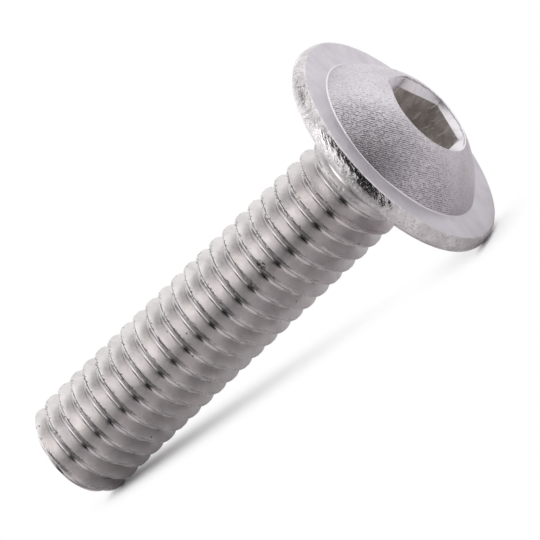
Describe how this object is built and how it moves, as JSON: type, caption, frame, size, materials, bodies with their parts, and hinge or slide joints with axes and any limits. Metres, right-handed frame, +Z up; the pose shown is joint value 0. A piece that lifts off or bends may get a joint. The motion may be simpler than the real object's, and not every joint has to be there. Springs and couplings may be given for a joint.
{
  "type": "button head screw",
  "caption": "Flanged button head screw with a hexagon socket, a wide washer-like flange under a low dome and a full-length metric thread.",
  "frame": {"origin": "floor point under the middle of the screw as it lies at rest on its rim and its thread", "axes": "+Z up; +X along the screw towards the head, so the screw's own axis lies in the XZ plane and rises 8.64 degrees from tip to head; the bearing face's middle is at (10.578, 0, 6.485) mm"},
  "size_m": [0.0282, 0.0132, 0.0131],
  "materials": {
    "stainless_steel": "satin stainless steel, frosted on the dome and bright on the rolled thread"
  },
  "bodies": {
    "root": {"screw": "stainless_steel"}
  },
  "joints": []
}
